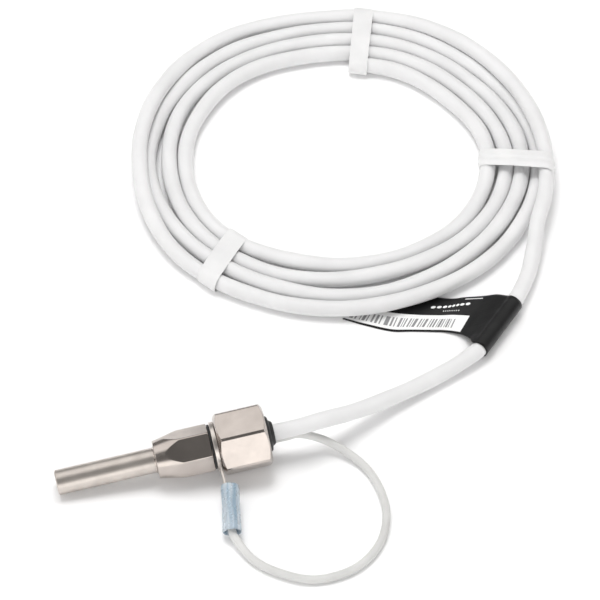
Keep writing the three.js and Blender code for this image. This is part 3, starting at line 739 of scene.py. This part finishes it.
def make_body():
    angles = np.linspace(0, FULL_TURN, 360, endpoint=False)
    bar = hex_radius(angles, BODY_ACROSS, math.pi / 6, BODY_LAND)
    cone_end = NOSE_STATION + NOSE_LENGTH
    stations, radii = [STEM_END + GAP, NOSE_STATION + 0.1, NOSE_STATION], [STEM_RADIUS + GAP] * 3
    front = soften([(NOSE_STATION, STEM_RADIUS + GAP), (NOSE_STATION, NOSE_RADIUS),
                    (cone_end, NOSE_RADIUS + NOSE_LENGTH * NOSE_SLOPE)], 0.25, 4, closed=False)
    for s, r in front[1:-1]:
        stations.append(s)
        radii.append(smooth_min(np.full_like(angles, r), bar, 0.04))
    for s in np.arange(front[-2][0] + 0.2, cone_end, 0.2):
        stations.append(s)
        cone = NOSE_RADIUS + (s - NOSE_STATION) * NOSE_SLOPE
        radii.append(smooth_min(np.full_like(angles, cone), bar, 0.04))
    for s in np.linspace(cone_end + 0.5, BODY_REAR - 0.8, 8):
        stations.append(s)
        radii.append(bar)
    rear_corner = BODY_ACROSS / 2 / math.cos(math.pi / 6) + 0.05
    for s in np.linspace(BODY_REAR - 0.7, BODY_REAR, 10):
        edge = rear_corner - max(0, s - BODY_REAR + 0.5) * 1.2
        rim = 0.25 * max(0.0, (s - BODY_REAR + 0.15) / 0.15) ** 2
        stations.append(s)
        radii.append(smooth_min(np.full_like(angles, edge), bar, 0.04) - rim)
    for r in (THREAD_CORE + 1.5, THREAD_CORE):
        stations.append(BODY_REAR)
        radii.append(r)
    for s in np.arange(BODY_REAR + 0.1, NECK_END - 0.6, 0.1):
        fade = min(1.0, (s - BODY_REAR) / 0.9, (NECK_END - 0.5 - s) / 0.8)
        stations.append(s)
        height = ridge(s, angles, THREAD_CORE, THREAD_CREST, 0) - THREAD_CORE
        radii.append(THREAD_CORE + max(0, fade) * height)
    rear_end = [
        (NECK_END - 0.4, THREAD_CORE), (NECK_END, THREAD_CORE - 0.4),
        (NECK_END, NECK_BORE), (STEM_END + GAP, NECK_BORE),
    ]
    for s, r in rear_end:
        stations.append(s)
        radii.append(r)
    points, faces = loft(spun(stations, radii, angles), wrap=True)
    body = object_from("hex_body", points, outward(points, faces), "root", NICKEL, PROBE)
    flat_faces_stay_flat(body)
    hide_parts("probe_body")


def make_nut():
    angles = np.linspace(0, FULL_TURN, 420, endpoint=False)
    bar = hex_radius(angles, NUT_ACROSS, 0, NUT_LAND)
    corner = NUT_ACROSS / 2 / math.cos(math.pi / 6) + 0.1
    rise = (corner - NUT_FACE_RADIUS) * math.tan(math.pi / 6)
    core, crest = THREAD_CORE + 0.2, THREAD_CREST + 0.2
    stations, radii = [], []

    def end_rows(face, inward, bore):
        """Rows from the bore's edge over the end face and its chamfer to the flats."""
        outline = [(0, bore), (0, NUT_FACE_RADIUS), (rise, corner), (rise + 1, corner)]
        outline = soften(outline, 0.22, 4, closed=False)
        rows = [(face + inward * s, r) for s, r in outline[:-1] if s < rise * 0.3]
        rows += [(face + inward * s, NUT_FACE_RADIUS + s / math.tan(math.pi / 6))
                 for s in np.arange(rise * 0.3, rise + 0.2, 0.06)]
        return rows

    front = end_rows(NUT_FRONT, 1, core + 0.9)
    rear = end_rows(NUT_REAR, -1, NUT_LIP)[::-1]
    middle = [(s, corner) for s in np.linspace(front[-1][0] + 0.3, rear[0][0] - 0.3, 12)]
    for s, r in front + middle + rear:
        stations.append(s)
        radii.append(smooth_min(np.full_like(angles, min(r, corner)), bar, 0.05))
    inside = [(NUT_REAR - 0.15, NUT_LIP - 0.1), (NUT_LIP_START, NUT_LIP - 0.1), (NUT_LIP_START, NUT_POCKET),
              (NUT_THREAD_END, NUT_POCKET), (NUT_THREAD_END, core)]
    for s, r in inside:
        stations.append(s)
        radii.append(r)
    for s in np.arange(NUT_THREAD_END - 0.1, NUT_FRONT + 0.6, -0.12):
        stations.append(s)
        radii.append(ridge(s, angles, core, crest, 0.12))
    points, faces = loft(spun(stations, radii, angles), wrap=True)
    nut = object_from("hex_union_nut", points, outward(points, faces), "nut", NICKEL, PROBE)
    flat_faces_stay_flat(nut)
    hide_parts("union_nut")


def make_washer():
    """The rubber washer, closer to the body and to the terminal than its CAD solid."""
    washer = turned_piece("washer", [
        (WASHER_FRONT - 0.2, TERMINAL_HOLE), (WASHER_FRONT - 0.2, WASHER_RADIUS),
        (WASHER_REAR - 0.3, WASHER_RADIUS), (WASHER_REAR - 0.3, TERMINAL_HOLE),
    ], "root", RUBBER, sides=96, edge=0.2)
    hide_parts("sealing_washer")


def make_terminal():
    """The terminal's ring, joined to its tongue, which turns from a flat strip into the round barrel."""
    ring = turned_piece("earth_terminal", [
        (TERMINAL_FRONT - 0.55, TERMINAL_HOLE), (TERMINAL_FRONT - 0.55, TERMINAL_RADIUS),
        (TERMINAL_REAR + 0.1, TERMINAL_RADIUS), (TERMINAL_REAR + 0.1, TERMINAL_HOLE),
    ], "root", TIN, sides=120, edge=0.3)
    side = TERMINAL_DIRECTION.cross(Vector((1, 0, 0))).normalized()
    angles = np.linspace(0, FULL_TURN, 32, endpoint=False)
    rings = []
    for d in np.linspace(TERMINAL_HOLE + 1.2, BARREL_START + BARREL_LENGTH, 44):
        bend = float(np.clip((d - BARREL_START + 1.4) / 1.8, 0, 1))
        bend = bend * bend * (3 - 2 * bend)
        flat_middle = Vector((TERMINAL_MIDDLE, 0, 0)) + TERMINAL_DIRECTION * d
        middle = flat_middle.lerp(barrel_point(d), bend)
        power = 0.35 + 0.65 * bend
        wide = TONGUE_HALF_WIDTH + (BARREL_RADIUS - TONGUE_HALF_WIDTH) * bend
        high = TONGUE_HALF_THICKNESS + (BARREL_RADIUS - TONGUE_HALF_THICKNESS) * bend
        c, s = np.cos(angles), np.sin(angles)
        x = wide * np.sign(c) * np.abs(c) ** power
        y = high * np.sign(s) * np.abs(s) ** power
        rings.append(np.array(middle) + x[:, None] * np.array(side) + y[:, None] * np.array((1.0, 0, 0)))
    points, faces = loft(rings)
    tongue = object_from("tongue", points, outward(points, faces), "root", TIN, PROBE)
    join_by_boolean(ring, tongue, "UNION")
    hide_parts("ring_terminal")
    return ring


def make_sleeve():
    """Heat-shrink sleeve in its own frame along X, shrunk a little round the barrel and wrinkled."""
    forward = BARREL_DIRECTION
    side = forward.cross(Vector((1, 0, 0))).normalized()
    turned = Matrix((forward, side, forward.cross(side))).transposed().to_4x4()
    place = PROBE @ Matrix.Translation(barrel_point(SLEEVE_START) * MM) @ turned
    floor_up = place.to_3x3().transposed() @ UP
    angles = np.linspace(0, FULL_TURN, 64, endpoint=False)
    facing_floor = np.clip(-floor_up.y * np.cos(angles) - floor_up.z * np.sin(angles), 0, 1)
    distances = np.linspace(0, SLEEVE_LENGTH, 40)
    outer, inner = [], []
    for d in distances:
        t = d / 3.0
        wrinkle = (0.10 * np.sin(3 * angles + 0.4 * t) + 0.07 * np.sin(7 * angles - 0.5 * t + 1)
                   + 0.05 * np.sin(11 * angles + 0.3 * t + 2) - 0.12)
        shrunk = 0.22 * math.exp(-(d / 0.9) ** 2) + 0.18 * math.exp(-((d - 8.4) / 3.0) ** 2)
        outer.append((SLEEVE_RADIUS - shrunk + wrinkle) * (1 - 0.12 * facing_floor))
        inner.append(outer[-1] - SLEEVE_WALL)
    rings = spun(distances, outer, angles) + spun(distances[::-1], inner[::-1], angles)
    points, faces = loft(rings, wrap=True)
    sleeve = object_from("heat_shrink_sleeve", points, outward(points, faces), "root", SLEEVE, place)
    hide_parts("terminal_sleeve")
    return sleeve


def make_grommet():
    grommet = turned_piece("grommet", [
        (GROMMET_FRONT, CABLE_HOLE), (GROMMET_FRONT, GROMMET_FLANGE), (GROMMET_STEP, GROMMET_FLANGE),
        (GROMMET_STEP, GROMMET_NOSE), (81.6, GROMMET_NOSE), (82.3, 6.2), (82.5, 4.9), (83.2, 4.55),
        (GROMMET_END, 4.05), (GROMMET_END, CABLE_HOLE),
    ], "nut_carriage", RUBBER, sides=96, edge=0.4)
    hole = WIRE_RADIUS + 0.12
    path = [Vector((s, -WIRE_OFFSET * math.cos(WIRE_ANGLE), WIRE_OFFSET * math.sin(WIRE_ANGLE)))
            for s in np.linspace(GROMMET_FRONT - 2, GROMMET_END + 2, 6)]
    points, faces = tube(np.array(path), hole, 32)
    cutter = object_from("wire_hole", points, faces, "nut_carriage", RUBBER, PROBE)
    join_by_boolean(grommet, cutter, "DIFFERENCE")
    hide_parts("cable_grommet")
    washer = turned_piece("thrust_washer", [
        (SLIP_WASHER_FRONT, SLIP_WASHER_HOLE), (SLIP_WASHER_FRONT, GROMMET_FLANGE),
        (SLIP_WASHER_REAR, GROMMET_FLANGE), (SLIP_WASHER_REAR, SLIP_WASHER_HOLE),
    ], "nut_carriage", PTFE, sides=72, edge=0.15)
    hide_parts("slip_washer")


make_stem()
make_body()
make_washer()
terminal = make_terminal()
sleeve = make_sleeve()
make_nut()
make_grommet()


# ------------------------------------------------------------------ ties
TIE_CLEARANCE = 0.15
TIE_LOWEST = 0.32
TIE_OUTSIDE = 0.3
TIE_INSIDE = 0.15
TIE_CURL = 0.12
TIE_RIDGES = (0.3, -0.45)
TIE_RIDGE_WIDTH = 0.16


def hull_outline(strands, clearance, steps=96):
    """A taut band round the strands' section: its support line at each direction, as [radius, height]."""
    directions = np.linspace(0, FULL_TURN, steps, endpoint=False)
    normals = np.stack([np.cos(directions), np.sin(directions)], axis=1)
    reach = (strands @ normals.T).max(axis=0)
    radius = CABLE_RADIUS + clearance
    corners = []
    for i in range(steps):
        n0, n1 = normals[i], normals[(i + 1) % steps]
        h0, h1 = reach[i] + radius, reach[(i + 1) % steps] + radius
        det = n0[0] * n1[1] - n0[1] * n1[0]
        corners.append(((h0 * n1[1] - h1 * n0[1]) / det, (n0[0] * h1 - n1[0] * h0) / det))
    outline = np.array(corners)
    loop = np.vstack([outline, outline[:1]])
    along = np.concatenate([[0], np.cumsum(np.linalg.norm(np.diff(loop, axis=0), axis=1))])
    even = np.linspace(0, along[-1], steps, endpoint=False)
    return np.stack([np.interp(even, along, loop[:, k]) for k in range(2)], axis=1)


def make_tie(name, node, degrees, width, skew=0.0, pivot=0.0, ridges=0.0, waist=0.0):
    """A flat strap round the coil, skewed about a pivot radius. Its ridges run lengthwise."""
    strands = strands_at(degrees)
    outline = hull_outline(strands, TIE_CLEARANCE)
    outline[:, 1] = np.maximum(outline[:, 1], TIE_LOWEST)
    count = len(outline)
    forward = np.roll(outline, -1, axis=0) - np.roll(outline, 1, axis=0)
    forward /= np.linalg.norm(forward, axis=1)[:, None]
    normal = np.stack([forward[:, 1], -forward[:, 0]], axis=1)
    across = np.linspace(-1, 1, 15)
    angle = math.radians(degrees)
    radial = np.array([math.cos(angle), math.sin(angle)])
    sideways = np.array([-math.sin(angle), math.cos(angle)])
    rings = []
    for i in range(count):
        section = []
        r, z = outline[i]
        lean = skew * (r - pivot)
        half = width / 2 * (1 - waist * math.sin(math.pi * (i / count)) ** 2)
        low = 1.0 if z > 1.0 else 0.35
        for side, t in [(1, t) for t in across] + [(-1, t) for t in across[::-1]]:
            edge = 1 - abs(t) ** 6
            relief = ridges * sum(math.exp(-((t - at) / TIE_RIDGE_WIDTH) ** 2) for at in TIE_RIDGES)
            out = (TIE_OUTSIDE + relief) * edge * low if side > 0 else -TIE_INSIDE * edge
            curl = TIE_CURL * (t * t)
            rr = r + normal[i][0] * (out + curl)
            zz = z + normal[i][1] * (out + curl)
            place = radial * rr + sideways * (t * half + lean)
            section.append((COIL_CENTRE[0] + place[0], COIL_CENTRE[1] + place[1], max(zz, 0.03)))
        rings.append(section)
    points, faces = loft(rings, wrap=True)
    tie = object_from(name, points, outward(points, faces), "root", TIE)
    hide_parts(node)
    return tie


ties = [
    make_tie("strap_back", "tie_back", 69, 8, skew=0.07, pivot=84, waist=0.05),
    make_tie("strap_right", "tie_right", -14, 8.8, skew=-0.24, pivot=58, ridges=0.35),
    make_tie("strap_left", "tie_left", 218, 9, skew=0.22, pivot=64),
]


# ------------------------------------------------------------------ label
LABEL_MIDDLE = (138.1, 40.25, 4.35)
LABEL_DIRECTION = math.radians(46.5)
LABEL_HALF = 13.8
LABEL_RADIUS = 3.75
FILM = 0.34

# Edges of the film's flag, from the lead's upper side down to the floor and under the coil.
FLAG_NEAR = [
    (126.4, 36.2, 4.6), (124.2, 41.0, 1.9), (118.8, 44.3, 0.75), (113.2, 45.9, 0.5), (105.6, 47.7, 0.45),
    (98.8, 49.2, 0.45), (89.2, 54.3, 0.45), (81.3, 59.3, 0.45),
]
FLAG_FAR = [
    (142.0, 55.0, 5.2), (137.3, 57.0, 3.1), (130.4, 59.4, 1.2), (125.8, 60.2, 0.6), (119, 62.5, 0.45),
    (111, 65.5, 0.45), (101, 67.5, 0.45), (91, 67, 0.45),
]
FILM_LOWEST = 0.04
ARC = [-78, -110, -145, -180, -215, -250, -285, -318]
PER_SPAN = 12
ACROSS = 26
BENT = len(ARC) + 1  # spans before the flag's first edge point
PANEL_LIFT = 0.03
MARK_LIFT = 0.05
BAR_WIDTHS = [0.05, 0.03, 0.08, 0.03, 0.05, 0.1, 0.03, 0.06]


def film_edge(end, flag):
    """One edge of the film: under the lead, round it and down the flag."""
    along = Vector((math.cos(LABEL_DIRECTION), math.sin(LABEL_DIRECTION), 0))
    out = Vector((-along.y, along.x, 0))
    middle = Vector(LABEL_MIDDLE) + along * end
    edge = [tuple(middle + out * 2.6 - along * (0.18 * end) + UP * (0.42 - middle.z))]
    for degrees in ARC:
        a = math.radians(degrees)
        edge.append(tuple(middle + out * LABEL_RADIUS * math.cos(a) + UP * LABEL_RADIUS * math.sin(a)))
    return dense_curve(edge + flag, PER_SPAN)


def film_surface():
    near, far = film_edge(-LABEL_HALF, FLAG_NEAR), film_edge(LABEL_HALF, FLAG_FAR)
    across = np.linspace(0, 1, ACROSS)[None, :, None]
    grid = near[:, None, :] * (1 - across) + far[:, None, :] * across
    flag_start = BENT * PER_SPAN
    rise = np.clip((np.arange(len(grid)) - flag_start - PER_SPAN) / (3 * PER_SPAN), 0, 1)
    wave = np.sin(math.pi * across[0, :, 0]) * 0.35
    grid[:, :, 2] += (rise * (1 - rise) * 4)[:, None] * wave[None, :]
    return grid


FILM_GRID = film_surface()


def film_point(u, v, lift=0.0):
    """A point of the film. u counts the flag's edge points, and v runs from 0 to 1 across."""
    row = min((BENT + u) * PER_SPAN, len(FILM_GRID) - 1.001)
    column = v * (ACROSS - 1)
    i, j = int(row), min(int(column), ACROSS - 2)
    fi, fj = row - i, column - j
    low = FILM_GRID[i, j] * (1 - fj) + FILM_GRID[i, j + 1] * fj
    high = FILM_GRID[i + 1, j] * (1 - fj) + FILM_GRID[i + 1, j + 1] * fj
    return low * (1 - fi) + high * fi + np.array([0, 0, lift])


def film_solid():
    down = np.gradient(FILM_GRID, axis=0)
    over = np.gradient(FILM_GRID, axis=1)
    normal = np.cross(over, down)
    normal /= np.linalg.norm(normal, axis=2)[:, :, None]
    if normal[-1, 0, 2] < 0:
        normal = -normal
    inner = FILM_GRID - FILM * normal
    inner[:, :, 2] = np.maximum(inner[:, :, 2], FILM_LOWEST)
    return loft([np.vstack([a, b[::-1]]) for a, b in zip(FILM_GRID, inner)])


def patch(u0, u1, v0, v1, lift, steps_u, steps_v, slant=0.0):
    """Points and faces of a mark on the film."""
    points, faces = [], []
    for i in range(steps_u + 1):
        for j in range(steps_v + 1):
            t = j / steps_v
            points.append(film_point(u0 + (u1 - u0) * i / steps_u + slant * t, v0 + (v1 - v0) * t, lift))
    row = steps_v + 1
    for i in range(steps_u):
        for j in range(steps_v):
            a = i * row + j
            faces.append((a, a + row, a + row + 1, a + 1))
    return points, faces


def dot(u, v, half_u, half_v, lift):
    points = [film_point(u, v, lift)]
    for k in range(16):
        a = FULL_TURN * k / 16
        points.append(film_point(u + half_u * math.cos(a), v + half_v * math.sin(a), lift))
    return points, [(0, 1 + k, 1 + (k + 1) % 16) for k in range(16)]


def marks(name, pieces, material):
    """Several marks as one object that faces up."""
    points, faces = [], []
    for some_points, some_faces in pieces:
        start = len(points)
        points += [tuple(p) for p in some_points]
        for f in some_faces:
            a, b, c = (np.array(some_points[k]) for k in f[:3])
            if np.cross(b - a, c - a)[2] < 0:
                f = tuple(reversed(f))
            faces.append(tuple(start + k for k in f))
    return object_from(name, points, faces, "root", material)


def make_id_label():
    """A film label folded round the lead, with plain bars on a white panel, rows of dots and a short line."""
    points, faces = film_solid()
    label = object_from("label_film", points, outward(points, faces), "root", LABEL)
    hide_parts("id_label")
    panel = marks("label_panel", [patch(1.12, 7.0, 0.045, 0.47, PANEL_LIFT, 70, 8)], PANEL)
    bars, u, k = [], 1.75, 0
    while u < 6.8:
        width = BAR_WIDTHS[k % len(BAR_WIDTHS)]
        bars.append(patch(u, u + width * 1.5, 0.12, 0.36, MARK_LIFT, 1, 4, 0.04))
        u += width * 1.5 + (0.07 if k % 3 else 0.13)
        k += 1
    bar_marks = marks("label_bars", bars, BARS)
    dots = [dot(1.6 + 0.3 * i, 0.79 - 0.012 * i, 0.12, 0.038, MARK_LIFT) for i in range(8)]
    dots += [dot(1.9 + 0.14 * i, 0.60, 0.03, 0.018, MARK_LIFT) for i in range(9)]
    dots.append(patch(0.95, 1.9, 0.925, 0.945, MARK_LIFT, 8, 1))
    dot_marks = marks("label_dots", dots, PANEL)
    return [label, panel, bar_marks, dot_marks]


labels = make_id_label()


# ------------------------------------------------------------------ conductor tails
def make_tails():
    """Two conductors with crimped ends on the floor behind the coil, hidden by its outermost strand."""
    found = []
    for colour, finish, beyond in (("red", RED, 3.4), ("black", BLACK, 5.05)):
        route = []
        for degrees in np.linspace(79, 105, 12):
            r = strands_at(degrees)[0][0] + beyond
            a = math.radians(degrees)
            route.append((COIL_CENTRE[0] + r * math.cos(a), COIL_CENTRE[1] + r * math.sin(a), 0.86))
        path = through(route, 0.8)
        split = round(len(path) * 20 / 26)  # the last 6 of the 26 degrees are the ferrule's
        points, faces = tube(path[:split], 0.78, 16)
        tail = object_from(f"conductor_{colour}", points, faces, "root", finish)
        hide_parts(f"tail_{colour}")
        points, faces = tube(path[split:], 0.84, 20)
        ferrule = object_from(f"ferrule_{colour}", points, faces, "root", TIN)
        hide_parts(f"tail_ferrule_{colour}")
        found += [tail, ferrule]
    return found


tails = make_tails()

# ------------------------------------------------------------------ pieces inside the probe
INSIDE = {
    "tip_window": GLASS, "window_seal": RUBBER, "spacer_tube": DARK_PLASTIC, "photocell": INNER_METAL,
    "photocell_holder": DARK_PLASTIC, "potting_plug": POTTING, "photocell_leg_red": TIN,
    "photocell_leg_black": TIN, "splice_red": TIN, "splice_black": TIN, "splice_cover_red": PTFE,
    "splice_cover_black": PTFE, "core_red": RED, "core_black": BLACK, "gland_spacer": PTFE,
    "shield_ferrule": TIN,
}


def dress_inner_pieces():
    for node, material in INSIDE.items():
        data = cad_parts[node].data
        data.materials.clear()
        data.materials.append(material)


dress_inner_pieces()
